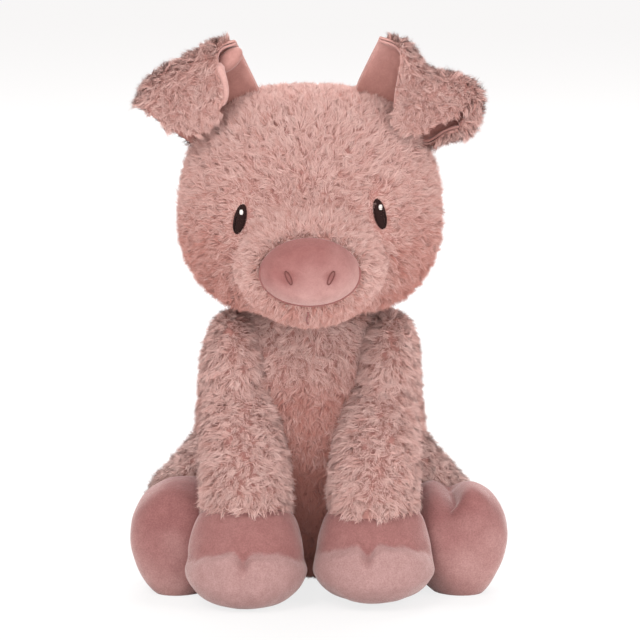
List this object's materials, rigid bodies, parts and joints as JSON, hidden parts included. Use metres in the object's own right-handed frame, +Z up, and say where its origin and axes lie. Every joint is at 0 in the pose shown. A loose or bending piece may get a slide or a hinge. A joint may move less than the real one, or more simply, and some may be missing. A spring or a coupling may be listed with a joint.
{
  "type": "plush pig",
  "caption": "Seated stuffed pig in long-pile pink fabric, with a smooth snout and feet, floppy folded ears and stitched eyes.",
  "frame": {"origin": "middle of the seat, on the surface that the pig sits on", "axes": "+Z up, the pig faces -Y, +X to the right as seen from the front"},
  "size_m": [0.172, 0.1893, 0.2556],
  "materials": {
    "long_pile_plush": "tousled long-pile plush",
    "velboa": "short smooth pile",
    "snout_velboa": "short smooth pile",
    "ear_lining": "short smooth pile",
    "dark_thread": "satin embroidery",
    "white_thread": "satin embroidery",
    "rose_thread": "satin embroidery",
    "fibre_filling": "polyester fibre",
    "pellet_bag": "woven bag of pellets"
  },
  "bodies": {
    "torso": {"torso_cover": "long_pile_plush", "torso_filling": "fibre_filling", "pellet_bag": "pellet_bag"},
    "head": {"head_cover": "long_pile_plush", "head_filling": "fibre_filling", "muzzle_cover": "long_pile_plush", "muzzle_filling": "fibre_filling", "snout_disc": "snout_velboa", "eye_left": "dark_thread", "eye_right": "dark_thread", "eye_highlight_left": "white_thread", "eye_highlight_right": "white_thread", "nostril_left": "rose_thread", "nostril_right": "rose_thread", "mouth_stitch": "rose_thread"},
    "tail": {"tail": "velboa"},
    "ear_left": {"ear_outer_left": "long_pile_plush", "ear_lining_left": "ear_lining"},
    "front_leg_left": {"front_leg_cover_left": "long_pile_plush", "front_foot_cover_left": "velboa", "front_leg_filling_left": "fibre_filling"},
    "hind_leg_left": {"hind_leg_cover_left": "long_pile_plush", "hind_foot_cover_left": "velboa", "hind_leg_filling_left": "fibre_filling"},
    "ear_right": {"ear_outer_right": "long_pile_plush", "ear_lining_right": "ear_lining"},
    "front_leg_right": {"front_leg_cover_right": "long_pile_plush", "front_foot_cover_right": "velboa", "front_leg_filling_right": "fibre_filling"},
    "hind_leg_right": {"hind_leg_cover_right": "long_pile_plush", "hind_foot_cover_right": "velboa", "hind_leg_filling_right": "fibre_filling"}
  },
  "joints": [
    {"name": "head_nod", "type": "hinge", "parent": "torso", "child": "head", "pos_m": [0, -0.021, 0.113], "axis": [1, 0, 0], "range_deg": [-12, 8], "stiffness_Nm_per_rad": 1, "springref_deg": -0.92},
    {"name": "ear_left_lift", "type": "hinge", "parent": "head", "child": "ear_left", "pos_m": [-0.04213, -0.04, 0.22413], "axis": [-0.7193, 0, -0.6947], "range_deg": [0, 35], "stiffness_Nm_per_rad": 0.03},
    {"name": "front_leg_left_swing", "type": "hinge", "parent": "torso", "child": "front_leg_left", "pos_m": [-0.0345, -0.041, 0.101], "axis": [-1, 0, 0], "range_deg": [0, 45], "stiffness_Nm_per_rad": 0.8},
    {"name": "hind_leg_left_splay", "type": "hinge", "parent": "torso", "child": "hind_leg_left", "pos_m": [-0.047, 0.006, 0.0365], "axis": [0, 0, -1], "range_deg": [0, 25], "stiffness_Nm_per_rad": 0.3},
    {"name": "ear_right_lift", "type": "hinge", "parent": "head", "child": "ear_right", "pos_m": [0.04213, -0.04, 0.22413], "axis": [-0.7193, 0, 0.6947], "range_deg": [0, 35], "stiffness_Nm_per_rad": 0.03},
    {"name": "front_leg_right_swing", "type": "hinge", "parent": "torso", "child": "front_leg_right", "pos_m": [0.0345, -0.041, 0.101], "axis": [-1, 0, 0], "range_deg": [0, 45], "stiffness_Nm_per_rad": 0.8},
    {"name": "hind_leg_right_splay", "type": "hinge", "parent": "torso", "child": "hind_leg_right", "pos_m": [0.047, 0.006, 0.0365], "axis": [0, 0, 1], "range_deg": [0, 25], "stiffness_Nm_per_rad": 0.3},
    {"name": "tail_wag", "type": "hinge", "parent": "torso", "child": "tail", "pos_m": [0, 0.05, 0.044], "axis": [0, 0, 1], "range_deg": [-30, 30], "stiffness_Nm_per_rad": 0.002}
  ]
}
